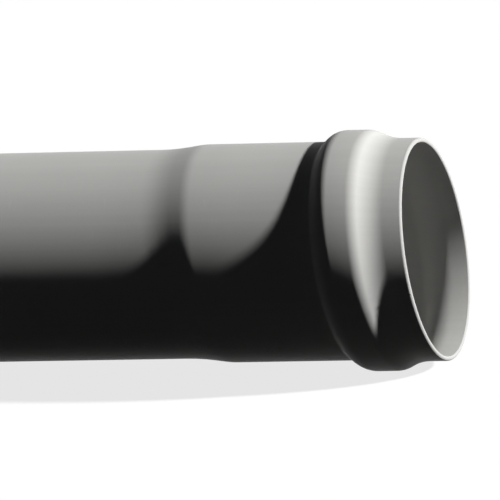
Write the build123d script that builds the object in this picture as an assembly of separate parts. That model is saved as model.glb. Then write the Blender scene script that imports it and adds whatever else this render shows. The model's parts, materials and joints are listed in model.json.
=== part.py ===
from build123d import *
import math
import os

# Drain pipe of unplasticised PVC: a plain extruded barrel with a ring-seal socket formed on one end.
# The axis lies along X, the socket's mouth faces +X, and the pipe lies on Z = 0.
# Lengths are in millimetres and angles in degrees.

# Barrel, cut square and chamfered at the spigot end
outside_diameter = 160.0
barrel_wall = 3.2
laying_length = 1000.0
spigot_chamfer_angle = 15.0
spigot_tip_share = 0.5

# Socket: the parallel seat that takes the next pipe's spigot, and the taper down to the barrel
spigot_clearance = 0.35
seat_wall = 3.05
seat_length = 100.5
taper_length = 24.0
taper_shoulder_share = 0.18
taper_foot_share = 0.48

# Seal groove: the hump that holds the sealing ring, with a gentle flank towards the mouth
groove_depth = 8.9
groove_wall = 2.65
crest_length = 15.0
front_flank_angle = 28.0
front_shoulder_share = 0.32
front_foot_share = 0.65
back_flank_angle = 46.0
back_shoulder_share = 0.67
back_foot_share = 0.12

# Lip: the short collar from the groove to the mouth, a little wider than the seat to lead a spigot in
lip_length = 25.0
lip_flare = 1.0
lip_wall = 3.6
rim_round_share = 0.58
rim_ease_share = 0.38

# Radii of the two skins
barrel_outer = outside_diameter / 2
barrel_bore = barrel_outer - barrel_wall
seat_bore = barrel_outer + spigot_clearance
seat_outer = seat_bore + seat_wall
groove_floor = seat_bore + groove_depth
crest_outer = groove_floor + groove_wall
lip_bore = seat_bore + lip_flare
lip_outer = lip_bore + lip_wall


def flank_run(height, angle):
    """Axial length of a flank that climbs a height at an angle to the axis."""
    return height / math.tan(math.radians(angle))


def bend_radius(straight, share, turn):
    """Radius of the round that uses up a share of a straight at a corner of that turn."""
    return straight * share / math.tan(math.radians(turn) / 2)


# Depths from the mouth, each section following the one before it
front_flank = (crest_outer - lip_outer) / math.sin(math.radians(front_flank_angle))
back_flank = (crest_outer - seat_outer) / math.sin(math.radians(back_flank_angle))
crest_corners = front_flank * front_shoulder_share + crest_length + back_flank * back_shoulder_share
crest_start = lip_length + flank_run(crest_outer - lip_outer, front_flank_angle)
crest_end = crest_start + crest_corners
groove_end = crest_end + flank_run(crest_outer - seat_outer, back_flank_angle)
socket_depth = groove_end + seat_length
barrel_start = socket_depth + taper_length
total_length = socket_depth + laying_length

# Rounds at the corners of the outer skin, from the mouth to the barrel
front_foot = bend_radius(front_flank, front_foot_share, front_flank_angle)
front_shoulder = bend_radius(front_flank, front_shoulder_share, front_flank_angle)
back_shoulder = bend_radius(back_flank, back_shoulder_share, back_flank_angle)
back_foot = bend_radius(back_flank, back_foot_share, back_flank_angle)
taper_slope = math.hypot(taper_length, seat_outer - barrel_outer)
taper_angle = math.degrees(math.atan2(seat_outer - barrel_outer, taper_length))
taper_shoulder = bend_radius(taper_slope, taper_shoulder_share, taper_angle)
taper_foot = bend_radius(taper_slope, taper_foot_share, taper_angle)


def skin_corners(lip, crest, seat, barrel, inset):
    """Corners (depth, radius) and rounds of one skin, from the lip's foot to the barrel.

    The flanks lie parallel to the outer skin's, set in by inset, and their rounds stay concentric.
    """
    def front(radius):
        drop = radius - lip_outer + inset / math.cos(math.radians(front_flank_angle))
        return lip_length + flank_run(drop, front_flank_angle)

    def back(radius):
        drop = radius - seat_outer + inset / math.cos(math.radians(back_flank_angle))
        return groove_end - flank_run(drop, back_flank_angle)

    corners = [
        (front(lip), lip),
        (front(crest), crest),
        (back(crest), crest),
        (back(seat), seat),
        (socket_depth, seat),
        (barrel_start, barrel),
    ]
    rounds = [
        front_foot + inset,
        front_shoulder - inset,
        back_shoulder - inset,
        back_foot + inset,
        taper_shoulder,
        taper_foot,
    ]
    return corners, rounds


def wall_section():
    """Closed section of the wall on one side of the axis, ready to be turned about it."""
    chamfer_depth = barrel_wall * (1 - spigot_tip_share)
    chamfer_run = flank_run(chamfer_depth, spigot_chamfer_angle)
    outer, outer_rounds = skin_corners(lip_outer, crest_outer, seat_outer, barrel_outer, 0)
    inner, inner_rounds = skin_corners(lip_bore, groove_floor, seat_bore, barrel_bore, groove_wall)

    mouth = [(0, lip_bore), (0, lip_outer)]
    mouth_rounds = [lip_wall * rim_ease_share, lip_wall * rim_round_share]
    spigot = [
        (total_length - chamfer_run, barrel_outer),
        (total_length, barrel_outer - chamfer_depth),
        (total_length, barrel_bore),
    ]
    spigot_rounds = [0] * len(spigot)

    corners = mouth + outer + spigot + inner[::-1]
    rounds = mouth_rounds + outer_rounds + spigot_rounds + inner_rounds[::-1]
    points = [(total_length / 2 - depth, crest_outer + radius) for depth, radius in corners]
    return make_face(Plane.XZ * FilletPolyline(points, radius=rounds, close=True))


axis = Axis((0, 0, crest_outer), (1, 0, 0))
pvc_pipe = revolve(wall_section(), axis)

os.makedirs("parts", exist_ok=True)
export_step(pvc_pipe, "parts/pvc_pipe.step")
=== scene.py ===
"""Studio picture of a grey PVC drain pipe with a ring-seal socket.

The pipe is turned from one section about its axis, so that its skins, its rounded rim and its sawn
spigot end are smooth at any distance. Lengths are in metres and angles in degrees unless a name says
otherwise. The axis runs along X with the socket's mouth towards +X, and Z is up.
"""
import json
import logging
import math
from dataclasses import dataclass, field
from enum import Enum
from typing import Any

import bmesh
import bpy
from mathutils import Matrix, Quaternion, Vector, noise


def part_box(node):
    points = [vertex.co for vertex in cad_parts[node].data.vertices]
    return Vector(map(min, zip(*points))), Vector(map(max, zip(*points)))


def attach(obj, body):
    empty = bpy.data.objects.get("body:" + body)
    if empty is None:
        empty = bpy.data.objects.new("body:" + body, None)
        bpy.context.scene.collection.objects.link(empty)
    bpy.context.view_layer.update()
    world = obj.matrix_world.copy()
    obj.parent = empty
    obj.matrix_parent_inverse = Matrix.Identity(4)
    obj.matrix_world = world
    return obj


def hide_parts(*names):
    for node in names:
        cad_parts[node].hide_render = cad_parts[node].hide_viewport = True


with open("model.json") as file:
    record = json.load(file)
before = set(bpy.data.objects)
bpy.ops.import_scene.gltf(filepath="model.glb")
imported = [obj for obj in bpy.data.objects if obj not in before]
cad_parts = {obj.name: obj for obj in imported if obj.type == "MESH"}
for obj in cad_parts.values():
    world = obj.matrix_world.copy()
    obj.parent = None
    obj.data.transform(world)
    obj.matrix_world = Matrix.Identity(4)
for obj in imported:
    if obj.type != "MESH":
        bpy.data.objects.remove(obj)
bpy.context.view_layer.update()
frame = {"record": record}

LOG = logging.getLogger("pvc_pipe")
MM = 0.001
NODE = "pvc_pipe"
BODY = "root"

Colour = tuple[float, float, float, float]
WHITE: Colour = (1.0, 1.0, 1.0, 1.0)

# Sockets of the Mix node when it mixes colours
MIX_FACTOR = 0
MIX_FIRST = 6
MIX_SECOND = 7
MIX_RESULT = 2

# The middle of a noise that runs from 0 to 1, and how rough its finer octaves are
MIDDLE = 0.5
NOISE_ROUGHNESS = 0.55


def toned(colour: Colour, factor: float) -> Colour:
    """Scale a colour, with no channel above 1, and keep it opaque."""
    return tuple(min(1.0, channel * factor) for channel in colour[:3]) + (1.0,)


class Zone(Enum):
    """Which finish a stretch of the section takes, by material slot."""

    SKIN = 0
    BORE = 1
    CUT = 2


class Shade:
    """One output of a node, with arithmetic that adds the Math node that it stands for."""

    def __init__(self, sheet: "NodeSheet", socket: bpy.types.NodeSocket | None) -> None:
        """Keep the output, or None for a node that has none, and the sheet that its node is on."""
        self.sheet = sheet
        self.socket = socket

    def _math(self, operation: str, first: "Shade | float", second: "Shade | float") -> "Shade":
        """Add a Math node for one operation on two operands."""
        return self.sheet.node("ShaderNodeMath", {"operation": operation}, {0: first, 1: second})

    def __add__(self, other: "Shade | float") -> "Shade":
        """Sum."""
        return self._math("ADD", self, other)

    def __radd__(self, other: "Shade | float") -> "Shade":
        """Sum with a number on the left."""
        return self._math("ADD", other, self)

    def __sub__(self, other: "Shade | float") -> "Shade":
        """Difference."""
        return self._math("SUBTRACT", self, other)

    def __rsub__(self, other: "Shade | float") -> "Shade":
        """Difference from a number on the left."""
        return self._math("SUBTRACT", other, self)

    def __mul__(self, other: "Shade | float") -> "Shade":
        """Product."""
        return self._math("MULTIPLY", self, other)

    def __rmul__(self, other: "Shade | float") -> "Shade":
        """Product with a number on the left."""
        return self._math("MULTIPLY", other, self)

    def __truediv__(self, other: "Shade | float") -> "Shade":
        """Quotient."""
        return self._math("DIVIDE", self, other)

    def __rtruediv__(self, other: "Shade | float") -> "Shade":
        """Quotient of a number on the left."""
        return self._math("DIVIDE", other, self)

    def __pow__(self, other: "Shade | float") -> "Shade":
        """Power."""
        return self._math("POWER", self, other)

    def __rpow__(self, other: "Shade | float") -> "Shade":
        """Power of a number on the left."""
        return self._math("POWER", other, self)

    def larger(self, other: "Shade | float") -> "Shade":
        """The larger of two values."""
        return self._math("MAXIMUM", self, other)

    def between(self, low: float, high: float) -> "Shade":
        """A smooth step from 0 at low to 1 at high.

        Args:
            low: Value that gives 0.
            high: Value that gives 1.

        Returns:
            The step as a value from 0 to 1.
        """
        return self.sheet.node(
            "ShaderNodeMapRange",
            {"interpolation_type": "SMOOTHSTEP"},
            {"Value": self, "From Min": low, "From Max": high},
        )

    def sibling(self, output: str) -> "Shade":
        """Another output of the same node."""
        return Shade(self.sheet, self.socket.node.outputs[output])


class NodeSheet:
    """The emptied node tree of a material or a world, and the one way to add nodes to it."""

    def __init__(self, owner: bpy.types.Material | bpy.types.World) -> None:
        """Switch the owner to nodes and clear its tree.

        Args:
            owner: Material or world that the nodes belong to.
        """
        owner.use_nodes = True
        self.tree = owner.node_tree
        self.tree.nodes.clear()

    def node(
        self,
        kind: str,
        settings: dict[str, Any] | None = None,
        inputs: dict[str | int, Any] | None = None,
        output: str | int = 0,
    ) -> Shade:
        """Add one node.

        Args:
            kind: Node type, as Blender names it.
            settings: Properties of the node, set before its sockets.
            inputs: Value or link of each socket that isn't left at its default.
            output: Which output to hand back.

        Returns:
            The chosen output.
        """
        made = self.tree.nodes.new(kind)
        for name, value in (settings or {}).items():
            setattr(made, name, value)
        for key, value in (inputs or {}).items():
            if isinstance(value, Shade):
                self.tree.links.new(value.socket, made.inputs[key])
            else:
                made.inputs[key].default_value = value
        outputs = made.outputs
        return Shade(self, outputs[output]) if len(outputs) else Shade(self, None)

    def blend(self, factor: Shade | float, first: Shade | Colour, second: Shade | Colour) -> Shade:
        """Mix two colours.

        Args:
            factor: 0 gives the first colour and 1 the second.
            first: Colour or link.
            second: Colour or link.

        Returns:
            The mixed colour.
        """
        return self.node(
            "ShaderNodeMix",
            {"data_type": "RGBA"},
            {MIX_FACTOR: factor, MIX_FIRST: first, MIX_SECOND: second},
            output=MIX_RESULT,
        )

    def noise(self, vector: Shade, detail: float) -> Shade:
        """Add a noise.

        Args:
            vector: Place, counted in grains.
            detail: Number of finer octaves.

        Returns:
            The noise, from about 0 to 1.
        """
        return self.node(
            "ShaderNodeTexNoise",
            {"noise_dimensions": "3D"},
            {"Vector": vector, "Scale": 1.0, "Detail": detail, "Roughness": NOISE_ROUGHNESS},
            output="Fac",
        )

    def seen(self) -> Shade:
        """1 where the camera, a reflection or glass shows a surface, and 0 in bounced light."""
        camera = self.node("ShaderNodeLightPath", output="Is Camera Ray")
        return camera.larger(camera.sibling("Is Glossy Ray")).larger(camera.sibling("Is Transmission Ray"))


@dataclass(frozen=True)
class PipeSizes:
    """Sizes of the pipe: the radii that the frame gives, and the shape of the socket's wall."""

    length: float
    crest_outer: float
    barrel_outer: float
    barrel_bore: float
    seat_bore: float
    seat_wall: float = 3.05 * MM
    seat_length: float = 100.5 * MM
    taper_length: float = 24 * MM
    taper_shoulder_share: float = 0.18
    taper_foot_share: float = 0.48
    groove_wall: float = 2.65 * MM
    crest_length: float = 15 * MM
    front_flank_angle: float = 28.0
    front_shoulder_share: float = 0.32
    front_foot_share: float = 0.65
    back_flank_angle: float = 46.0
    back_shoulder_share: float = 0.67
    back_foot_share: float = 0.12
    lip_length: float = 25 * MM
    lip_flare: float = 1.0 * MM
    lip_wall: float = 3.6 * MM
    rim_round_share: float = 0.58
    rim_ease_share: float = 0.38
    spigot_chamfer_angle: float = 15.0
    spigot_tip_share: float = 0.5

    @classmethod
    def from_frame(cls) -> "PipeSizes":
        """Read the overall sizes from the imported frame.

        Returns:
            The sizes, with the bores and the spigot as the mounts give them.
        """
        low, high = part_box(NODE)
        radius = {mount["name"]: mount["dims"]["r_mm"] * MM for mount in frame["record"]["mounts"]}
        return cls(
            length=high[0] - low[0],
            crest_outer=(high[2] - low[2]) / 2,
            barrel_outer=radius["spigot"],
            barrel_bore=radius["flow_bore"],
            seat_bore=radius["socket_seat"],
        )

    @property
    def mouth(self) -> float:
        """Place of the mouth along X."""
        return self.length / 2

    @property
    def axis_height(self) -> float:
        """Height of the axis: the pipe lies on the groove's crest."""
        return self.crest_outer

    @property
    def seat_outer(self) -> float:
        """Outside radius of the parallel seat."""
        return self.seat_bore + self.seat_wall

    @property
    def groove_floor(self) -> float:
        """Inside radius of the seal groove."""
        return self.crest_outer - self.groove_wall

    @property
    def lip_bore(self) -> float:
        """Inside radius of the lip."""
        return self.seat_bore + self.lip_flare

    @property
    def lip_outer(self) -> float:
        """Outside radius of the lip."""
        return self.lip_bore + self.lip_wall

    @property
    def front_flank(self) -> float:
        """Length of the flank towards the mouth, along its slope."""
        return (self.crest_outer - self.lip_outer) / math.sin(math.radians(self.front_flank_angle))

    @property
    def back_flank(self) -> float:
        """Length of the flank towards the seat, along its slope."""
        return (self.crest_outer - self.seat_outer) / math.sin(math.radians(self.back_flank_angle))

    @property
    def crest_end(self) -> float:
        """Where the crest ends towards the seat.

        Returns:
            Depth of that corner from the mouth.
        """
        start = self.lip_length + self.front_flank * math.cos(math.radians(self.front_flank_angle))
        rounds = self.front_flank * self.front_shoulder_share + self.back_flank * self.back_shoulder_share
        return start + rounds + self.crest_length

    @property
    def groove_end(self) -> float:
        """Depth from the mouth of the groove's foot on the seat."""
        return self.crest_end + self.back_flank * math.cos(math.radians(self.back_flank_angle))

    @property
    def socket_depth(self) -> float:
        """Depth from the mouth of the seat's end."""
        return self.groove_end + self.seat_length

    @property
    def barrel_start(self) -> float:
        """Depth from the mouth at which the taper has come down to the barrel."""
        return self.socket_depth + self.taper_length


@dataclass(frozen=True)
class Corner:
    """A corner of the wall's section, with its round.

    The zone is the finish of the run that leaves the corner, and of its round unless bend_zone is given.
    """

    depth: float
    radius: float
    bend: float
    zone: Zone
    bend_zone: Zone | None = None

    @property
    def point(self) -> Vector:
        """The corner as a 2-D point: depth from the mouth, radius."""
        return Vector((self.depth, self.radius))


@dataclass
class WallSection:
    """The closed section of the wall, from the rim over the outer skin and back through the bore."""

    sizes: PipeSizes
    arc_step: float = 4.0
    fewest_steps: int = 2
    run_step: float = 40 * MM

    def corners(self) -> list[Corner]:
        """Corners in order, starting at the rim's inner edge.

        Returns:
            The corners of the rim, the outer skin, the spigot end and the inner skin.
        """
        s = self.sizes
        wall = s.barrel_outer - s.barrel_bore
        tip = wall * s.spigot_tip_share
        chamfer_run = (wall - tip) / math.tan(math.radians(s.spigot_chamfer_angle))
        outer = self._skin(s.lip_outer, s.crest_outer, s.seat_outer, s.barrel_outer, 0.0, Zone.SKIN)
        inner = self._skin(s.lip_bore, s.groove_floor, s.seat_bore, s.barrel_bore, s.groove_wall, Zone.BORE)
        rim = [
            Corner(0.0, s.lip_bore, s.lip_wall * s.rim_ease_share, Zone.CUT),
            # The rim's outer round takes the cut finish, whose darker colour is painted shade against the
            # key lamp.
            Corner(0.0, s.lip_outer, s.lip_wall * s.rim_round_share, Zone.SKIN, bend_zone=Zone.CUT),
        ]
        spigot = [
            Corner(s.length - chamfer_run, s.barrel_outer, 0.0, Zone.CUT),
            Corner(s.length, s.barrel_bore + tip, 0.0, Zone.CUT),
            Corner(s.length, s.barrel_bore, 0.0, Zone.BORE),
        ]
        return rim + outer + spigot + inner[::-1]

    def _skin(
        self, lip: float, crest: float, seat: float, barrel: float, inset: float, zone: Zone
    ) -> list[Corner]:
        """Corners of one skin from the lip's foot to the barrel.

        Args:
            lip: Radius of the lip.
            crest: Radius of the groove's crest.
            seat: Radius of the parallel seat.
            barrel: Radius of the barrel.
            inset: How far the groove's flanks lie inside the outer skin's.
            zone: Finish of the skin.

        Returns:
            The corners, with rounds concentric to the outer skin's.
        """
        s = self.sizes
        front, back = math.radians(s.front_flank_angle), math.radians(s.back_flank_angle)
        taper = math.atan2(s.seat_outer - s.barrel_outer, s.taper_length)
        taper_slope = math.hypot(s.taper_length, s.seat_outer - s.barrel_outer)

        def front_depth(radius: float) -> float:
            """Depth at which the flank towards the mouth has a radius."""
            return s.lip_length + (radius - s.lip_outer + inset / math.cos(front)) / math.tan(front)

        def back_depth(radius: float) -> float:
            """Depth at which the flank towards the seat has a radius."""
            return s.groove_end - (radius - s.seat_outer + inset / math.cos(back)) / math.tan(back)

        front_foot = s.front_flank * s.front_foot_share / math.tan(front / 2)
        front_shoulder = s.front_flank * s.front_shoulder_share / math.tan(front / 2)
        back_shoulder = s.back_flank * s.back_shoulder_share / math.tan(back / 2)
        back_foot = s.back_flank * s.back_foot_share / math.tan(back / 2)
        taper_shoulder = taper_slope * s.taper_shoulder_share / math.tan(taper / 2)
        taper_foot = taper_slope * s.taper_foot_share / math.tan(taper / 2)
        return [
            Corner(front_depth(lip), lip, front_foot + inset, zone),
            Corner(front_depth(crest), crest, front_shoulder - inset, zone),
            Corner(back_depth(crest), crest, back_shoulder - inset, zone),
            Corner(back_depth(seat), seat, back_foot + inset, zone),
            Corner(s.socket_depth, seat, taper_shoulder, zone),
            Corner(s.barrel_start, barrel, taper_foot, zone),
        ]

    def points(self) -> list[tuple[Vector, Zone]]:
        """Divide the section into closely spaced points.

        Returns:
            The points in order, each with the finish of the run that leaves it.
        """
        corners = self.corners()
        path: list[tuple[Vector, Zone]] = []
        for index, corner in enumerate(corners):
            before, after = corners[index - 1], corners[(index + 1) % len(corners)]
            bend = self._bend(before.point, corner, after.point)
            self._run_to(path, bend[0], before.zone)
            path.extend((point, corner.bend_zone or corner.zone) for point in bend[:-1])
            path.append((bend[-1], corner.zone))
        first = path[0][0]
        self._run_to(path, first, corners[-1].zone)
        return path

    def _bend(self, before: Vector, corner: Corner, after: Vector) -> list[Vector]:
        """Round off one corner.

        Args:
            before: Point of the corner before it.
            corner: The corner itself.
            after: Point of the corner after it.

        Returns:
            Points of the round, or the bare corner where it has none.
        """
        here = corner.point
        if corner.bend == 0.0:
            return [here]
        back, ahead = (before - here).normalized(), (after - here).normalized()
        turn = math.pi - back.angle(ahead)
        centre = here + (back + ahead).normalized() * corner.bend / math.cos(turn / 2)
        start = here + back * corner.bend * math.tan(turn / 2) - centre
        side = math.copysign(1.0, back.x * ahead.y - back.y * ahead.x)
        steps = max(self.fewest_steps, math.ceil(math.degrees(turn) / self.arc_step))
        return [centre + Matrix.Rotation(-side * turn * k / steps, 2) @ start for k in range(steps + 1)]

    def _run_to(self, path: list[tuple[Vector, Zone]], point: Vector, zone: Zone) -> None:
        """Divide a long straight run from the path's last point.

        Args:
            path: Path that takes the dividing points.
            point: End of the run, which isn't added.
            zone: Finish of the run.
        """
        if not path:
            return
        last = path[-1][0]
        steps = math.ceil((point - last).length / self.run_step)
        path.extend((last.lerp(point, k / steps), zone) for k in range(1, steps))


@dataclass(frozen=True)
class Grain:
    """A noise on the pipe: its grains to the metre along it and to the radian round it, and its octaves."""

    per_metre: float
    round_axis: float
    detail: float = 2.0


class Turned:
    """Place on the turned pipe: along the axis, round it, and out from it."""

    def __init__(self, sheet: NodeSheet, sizes: PipeSizes) -> None:
        """Split the object's own coordinates about the pipe's axis.

        Args:
            sheet: Node tree that takes the nodes.
            sizes: Sizes of the pipe, for the place of its axis.
        """
        self.sheet = sheet
        place = sheet.node("ShaderNodeTexCoord", output="Object")
        self.along = sheet.node("ShaderNodeSeparateXYZ", None, {0: place}, output="X")
        side = self.along.sibling("Y")
        up = self.along.sibling("Z") - sizes.axis_height
        self.radius = (side * side + up * up) ** 0.5
        self.cosine = side / self.radius
        self.sine = up / self.radius

    def noise(self, grain: Grain, along: Shade | None = None) -> Shade:
        """Lay a noise on the pipe.

        Args:
            grain: How fine the noise is in each direction.
            along: Length to use in place of the one along the axis.

        Returns:
            The noise, from about 0 to 1.
        """
        vector = self.sheet.node(
            "ShaderNodeCombineXYZ",
            None,
            {
                "X": (along or self.along) * grain.per_metre,
                "Y": self.cosine * grain.round_axis,
                "Z": self.sine * grain.round_axis,
            },
        )
        return self.sheet.noise(vector, grain.detail)


@dataclass(frozen=True)
class PvcFinish:
    """Nearly matt grey PVC as it leaves the die: lengthwise lines, a faint mottle and scuffs from handling.

    Scuffs show where rubbed patches and scratches meet. Each fades in between the two levels of its band.
    """

    name: str
    colour: Colour
    broad_lines: Grain = Grain(1.6, 14.0, detail=3.0)
    fine_lines: Grain = Grain(1.6, 70.0)
    mottling: Grain = Grain(9.0, 1.2, detail=3.0)
    patches: Grain = Grain(7.0, 0.9)
    patch_band: tuple[float, float] = (0.52, 0.72)
    scratches: Grain = Grain(420.0, 5.0, detail=4.0)
    scratch_band: tuple[float, float] = (0.60, 0.74)
    tone_spread: float = 0.05
    broad_tone: float = 0.9
    fine_tone: float = 0.5
    mottle_tone: float = 0.8
    scuff_tone: float = 0.10
    roughness: float = 0.44
    roughness_spread: float = 0.12
    scuff_roughness: float = 0.12
    line_depth: float = 0.05 * MM
    fine_height: float = 0.7
    broad_height: float = 0.5
    scuff_height: float = 0.15
    bump_strength: float = 0.6
    shine: float = 0.02

    def material(self, sizes: PipeSizes) -> bpy.types.Material:
        """Make the finish.

        Args:
            sizes: Sizes of the pipe, for the place of its axis.

        Returns:
            The new material.
        """
        made = bpy.data.materials.new(self.name)
        sheet = NodeSheet(made)
        turned = Turned(sheet, sizes)
        broad = turned.noise(self.broad_lines)
        fine = turned.noise(self.fine_lines)
        mottle = turned.noise(self.mottling)
        rubbed = turned.noise(self.patches).between(*self.patch_band)
        scratched = turned.noise(self.scratches).between(*self.scratch_band)
        scuffs = rubbed * scratched

        lines = self.broad_tone * (broad - MIDDLE) + self.fine_tone * (fine - MIDDLE)
        tone = MIDDLE + lines + self.mottle_tone * (mottle - MIDDLE)
        low = toned(self.colour, 1 - self.tone_spread)
        high = toned(self.colour, 1 + self.tone_spread)
        worn = toned(self.colour, 1 + self.scuff_tone)
        roughness = self.roughness + self.roughness_spread * (broad - MIDDLE) + self.scuff_roughness * scuffs
        height = self.fine_height * fine + self.broad_height * broad - self.scuff_height * scuffs
        bump = sheet.node(
            "ShaderNodeBump",
            None,
            {"Strength": self.bump_strength, "Distance": self.line_depth, "Height": height},
        )
        surface = sheet.node(
            "ShaderNodeBsdfPrincipled",
            None,
            {
                "Base Color": sheet.blend(scuffs, sheet.blend(tone, low, high), worn),
                "Roughness": roughness,
                "Normal": bump,
                "Specular IOR Level": self.shine,
            },
        )
        sheet.node("ShaderNodeOutputMaterial", None, {"Surface": surface})
        return made


@dataclass(frozen=True)
class CutFinish:
    """Sawn and eased PVC, duller than the skin, with the fine rings that the blade leaves; its darker colour
    is painted shade on the lamp-lit rim.
    """

    name: str
    colour: Colour
    ring_pitch: float = 0.35 * MM
    ring_depth: float = 0.06 * MM
    ring_breaks: float = 2.5
    chatter_marks: Grain = Grain(0.0, 30.0)
    low_tone: float = 0.9
    high_tone: float = 1.08
    ring_tone: float = 0.6
    chatter_tone: float = 0.4
    chatter_height: float = 0.3
    bump_strength: float = 0.5
    roughness: float = 0.6
    roughness_spread: float = 0.15
    shine: float = 0.02

    def material(self, sizes: PipeSizes) -> bpy.types.Material:
        """Make the finish.

        Args:
            sizes: Sizes of the pipe, for the place of its axis.

        Returns:
            The new material.
        """
        made = bpy.data.materials.new(self.name)
        sheet = NodeSheet(made)
        turned = Turned(sheet, sizes)
        across = turned.radius + turned.along
        rings = turned.noise(Grain(1 / self.ring_pitch, self.ring_breaks), along=across)
        chatter = turned.noise(self.chatter_marks)
        low = toned(self.colour, self.low_tone)
        high = toned(self.colour, self.high_tone)
        tone = self.ring_tone * rings + self.chatter_tone * chatter
        height = rings + self.chatter_height * chatter
        bump = sheet.node(
            "ShaderNodeBump",
            None,
            {"Strength": self.bump_strength, "Distance": self.ring_depth, "Height": height},
        )
        surface = sheet.node(
            "ShaderNodeBsdfPrincipled",
            None,
            {
                "Base Color": sheet.blend(tone, low, high),
                "Roughness": self.roughness + self.roughness_spread * (chatter - MIDDLE),
                "Normal": bump,
                "Specular IOR Level": self.shine,
            },
        )
        sheet.node("ShaderNodeOutputMaterial", None, {"Surface": surface})
        return made


@dataclass
class SocketPipe:
    """The pipe itself: one turned wall, with a faintly uneven rim and a burr left on its edge."""

    sizes: PipeSizes
    skin: PvcFinish
    bore: PvcFinish
    cut: CutFinish
    segments: int = 384
    rim_wave: float = 0.25 * MM
    rim_waves: float = 1.4
    rim_reach: float = 8 * MM
    burr_angle: float = 188.5
    burr_depth: float = 2.0 * MM
    burr_sink: float = 0.25 * MM
    burr_size: tuple[float, float, float] = (1.4 * MM, 1.1 * MM, 0.6 * MM)
    burr_steps: int = 16
    sharp_angle: float = 10.0
    piece: bpy.types.Object = field(init=False)

    def build(self) -> None:
        """Turn the wall's section about the axis and hand the piece to the frame."""
        path = WallSection(self.sizes).points()
        mesh = bpy.data.meshes.new("socket_pipe")
        shape = bmesh.new()
        rings = [self._ring(shape, point) for point, _ in path]
        for index, (_, zone) in enumerate(path):
            near, far = rings[index], rings[(index + 1) % len(rings)]
            for k in range(self.segments):
                after = (k + 1) % self.segments
                face = shape.faces.new((near[k], near[after], far[after], far[k]))
                face.smooth = True
                face.material_index = zone.value
        self._add_burr(shape)
        bmesh.ops.recalc_face_normals(shape, faces=shape.faces)
        shape.to_mesh(mesh)
        shape.free()
        mesh.set_sharp_from_angle(angle=math.radians(self.sharp_angle))
        self.piece = bpy.data.objects.new("socket_pipe", mesh)
        bpy.context.scene.collection.objects.link(self.piece)
        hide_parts(NODE)
        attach(self.piece, BODY)

    def dress(self) -> None:
        """Give each zone of the wall its finish, in the order of Zone."""
        for finish in (self.skin, self.bore, self.cut):
            self.piece.data.materials.append(finish.material(self.sizes))

    def _ring(self, shape: bmesh.types.BMesh, point: Vector) -> list[bmesh.types.BMVert]:
        """One ring of the turned wall.

        Args:
            shape: Mesh that takes the vertices.
            point: Depth from the mouth, and radius.

        Returns:
            The ring's vertices in order round the axis.
        """
        ring = []
        for k in range(self.segments):
            angle = 2 * math.pi * k / self.segments
            place = (
                self.sizes.mouth - self._uneven(point.x, angle),
                point.y * math.cos(angle),
                self.sizes.axis_height + point.y * math.sin(angle),
            )
            ring.append(shape.verts.new(place))
        return ring

    def _uneven(self, depth: float, angle: float) -> float:
        """Depth of a point once the rim's waviness is added.

        Args:
            depth: Depth from the mouth on the true section.
            angle: Angle round the axis, in radians.

        Returns:
            The depth, changed only near the rim.
        """
        near_rim = max(0.0, 1 - depth / self.rim_reach)
        place = Vector((math.cos(angle), math.sin(angle), 0.0)) * self.rim_waves
        return depth + self.rim_wave * near_rim * (1 + noise.noise(place)) / 2

    def _add_burr(self, shape: bmesh.types.BMesh) -> None:
        """Add the small burr that folds over the rim's outer edge.

        Args:
            shape: Mesh that takes the burr.
        """
        angle = math.radians(self.burr_angle)
        radius = self.sizes.lip_outer - self.burr_sink
        out = Vector((0.0, math.cos(angle), math.sin(angle)))
        centre = Vector((self.sizes.mouth - self.burr_depth, 0.0, self.sizes.axis_height)) + radius * out
        turn = Matrix.Rotation(angle - math.pi / 2, 4, "X")
        place = Matrix.Translation(centre) @ turn @ Matrix.Diagonal((*self.burr_size, 1.0))
        made = bmesh.ops.create_uvsphere(
            shape, u_segments=self.burr_steps, v_segments=self.burr_steps, radius=1.0, matrix=place
        )
        for face in {face for vertex in made["verts"] for face in vertex.link_faces}:
            face.smooth = True
            face.material_index = Zone.CUT.value


@dataclass
class StudioFloor:
    """A plain pale floor under the crest of the socket and the spigot's edge."""

    sizes: PipeSizes
    half_width: float = 12.0
    colour: Colour = (0.96, 0.96, 0.96, 1.0)
    bounce: Colour = (0.012, 0.012, 0.012, 1.0)
    paleness: float = 0.78
    piece: bpy.types.Object = field(init=False)

    def build(self) -> None:
        """Lay the floor so that the pipe rests on it at both ends."""
        s = self.sizes
        rest_x = s.mouth - s.crest_end
        spigot_gap = s.crest_outer - s.barrel_outer
        slope = spigot_gap / (rest_x + s.mouth)
        corners = [
            (x, y, (rest_x - x) * slope)
            for x, y in (
                (-self.half_width, -self.half_width),
                (self.half_width, -self.half_width),
                (self.half_width, self.half_width),
                (-self.half_width, self.half_width),
            )
        ]
        mesh = bpy.data.meshes.new("studio_floor")
        mesh.from_pydata(corners, [], [(0, 1, 2, 3)])
        self.piece = bpy.data.objects.new("studio_floor", mesh)
        bpy.context.scene.collection.objects.link(self.piece)

    def dress(self) -> None:
        """Pale where it is seen, with the pipe's shadow, and dim in the light that it throws back."""
        made = bpy.data.materials.new("pale_floor")
        sheet = NodeSheet(made)
        lit = sheet.node("ShaderNodeBsdfDiffuse", None, {"Color": self.colour})
        glow = sheet.node("ShaderNodeEmission", None, {"Strength": 1.0})
        pale = sheet.node("ShaderNodeMixShader", None, {0: self.paleness, 1: lit, 2: glow})
        dim = sheet.node("ShaderNodeBsdfDiffuse", None, {"Color": self.bounce})
        surface = sheet.node("ShaderNodeMixShader", None, {0: sheet.seen(), 1: dim, 2: pale})
        sheet.node("ShaderNodeOutputMaterial", None, {"Surface": surface})
        self.piece.data.materials.append(made)


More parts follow.
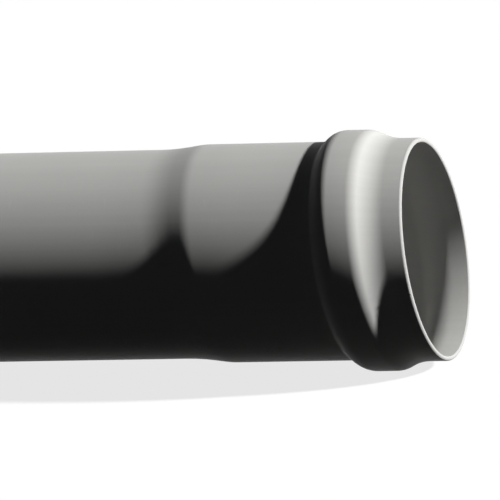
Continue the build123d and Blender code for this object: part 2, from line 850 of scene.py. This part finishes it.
@dataclass
class StudioLight:
    """A key lamp from the mouth's side, low enough to rake the socket, a weak back lamp and a weak fill."""

    towards_key: tuple[float, float, float] = (2.67, 0.055, 1.0)
    key_level: float = 2.9
    key_spread: float = 2.6
    towards_back: tuple[float, float, float] = (0.2, 1.0, 0.03)
    back_level: float = 0.10
    back_spread: float = 10.0
    fill: Colour = (0.012, 0.0125, 0.0145, 1.0)

    def build(self) -> None:
        """Hang the lamps and set the world."""
        self._sun("key_lamp", self.towards_key, self.key_level, self.key_spread)
        self._sun("back_lamp", self.towards_back, self.back_level, self.back_spread)
        world = bpy.data.worlds.new("studio")
        bpy.context.scene.world = world
        sheet = NodeSheet(world)
        fill = sheet.node("ShaderNodeBackground", None, {"Color": self.fill, "Strength": 1.0})
        white = sheet.node("ShaderNodeBackground", None, {"Color": WHITE, "Strength": 1.0})
        surface = sheet.node("ShaderNodeMixShader", None, {0: sheet.seen(), 1: fill, 2: white})
        sheet.node("ShaderNodeOutputWorld", None, {"Surface": surface})

    def _sun(self, name: str, towards: tuple[float, float, float], level: float, spread: float) -> None:
        """Hang one far lamp.

        Args:
            name: Name of the lamp.
            towards: Direction from the pipe to the lamp.
            level: Its light, where 1 renders a colour that faces it as it is written.
            spread: How wide it looks from the pipe.
        """
        lamp = bpy.data.lights.new(name, "SUN")
        lamp.energy = level * math.pi
        lamp.angle = math.radians(spread)
        hung = bpy.data.objects.new(name, lamp)
        hung.rotation_mode = "QUATERNION"
        hung.rotation_quaternion = Vector(towards).to_track_quat("Z", "Y")
        bpy.context.scene.collection.objects.link(hung)


@dataclass
class PhotoCamera:
    """The camera of the photograph: far off with a long lens, and its picture slightly sheared."""

    sizes: PipeSizes
    azimuth: float = 18.304
    elevation: float = 14.0
    roll: float = -5.686
    lean: float = 0.1057
    lens_mm: float = 864.0
    distance: float = 9.221
    aim_depth: float = 149.33 * MM
    aim_height: float = 2.23 * MM
    far_limit: float = 100.0

    def build(self) -> None:
        """Set the camera up and make it the scene's own."""
        azimuth, elevation = math.radians(self.azimuth), math.radians(self.elevation)
        back = Vector(
            (
                math.sin(azimuth) * math.cos(elevation),
                -math.cos(azimuth) * math.cos(elevation),
                math.sin(elevation),
            )
        )
        aim = Vector((self.sizes.mouth - self.aim_depth, 0.0, self.sizes.axis_height + self.aim_height))
        turn = (-back).to_track_quat("-Z", "Y") @ Quaternion((0.0, 0.0, 1.0), math.radians(self.roll))
        lens = bpy.data.cameras.new("photo_camera")
        lens.lens = self.lens_mm
        lens.clip_end = self.far_limit
        camera = bpy.data.objects.new("photo_camera", lens)
        camera.rotation_mode = "QUATERNION"
        camera.location = aim + back * self.distance
        camera.rotation_quaternion = turn
        bpy.context.scene.collection.objects.link(camera)
        bpy.context.scene.camera = camera
        self._shear(camera)

    def _shear(self, camera: bpy.types.Object) -> None:
        """Lean the camera's upright towards its right, as the photograph's uprights do.

        Args:
            camera: Camera, already in its place.
        """
        stand = bpy.data.objects.new("camera_stand", None)
        bpy.context.scene.collection.objects.link(stand)
        level = Matrix.LocRotScale(camera.location, camera.rotation_quaternion, None)
        shear = Matrix.Identity(4)
        shear[0][1] = self.lean
        camera.parent = stand
        camera.matrix_parent_inverse = level @ shear @ level.inverted()


def main() -> None:
    """Build the pipe, the floor, the light and the camera in order."""
    logging.basicConfig(level=logging.INFO, format="%(name)s: %(message)s")
    scene = bpy.context.scene
    scene.view_settings.view_transform = "Standard"
    sizes = PipeSizes.from_frame()
    pipe = SocketPipe(
        sizes,
        skin=PvcFinish("grey_pvc_skin", (0.428, 0.426, 0.412, 1.0)),
        bore=PvcFinish("grey_pvc_bore", (0.415, 0.413, 0.400, 1.0), scuff_tone=0.03),
        # The cut's colour is darker than the skin's as painted shade: it keeps the rim's round, which faces
        # the key lamp, from rendering white.
        cut=CutFinish("grey_pvc_cut_and_painted_shade", (0.305, 0.303, 0.295, 1.0)),
    )
    floor = StudioFloor(sizes)
    for thing in (pipe, floor):
        thing.build()
        thing.dress()
        LOG.info("%s: %d faces", thing.piece.name, len(thing.piece.data.polygons))
    StudioLight().build()
    PhotoCamera(sizes).build()


if __name__ == "__main__":
    main()
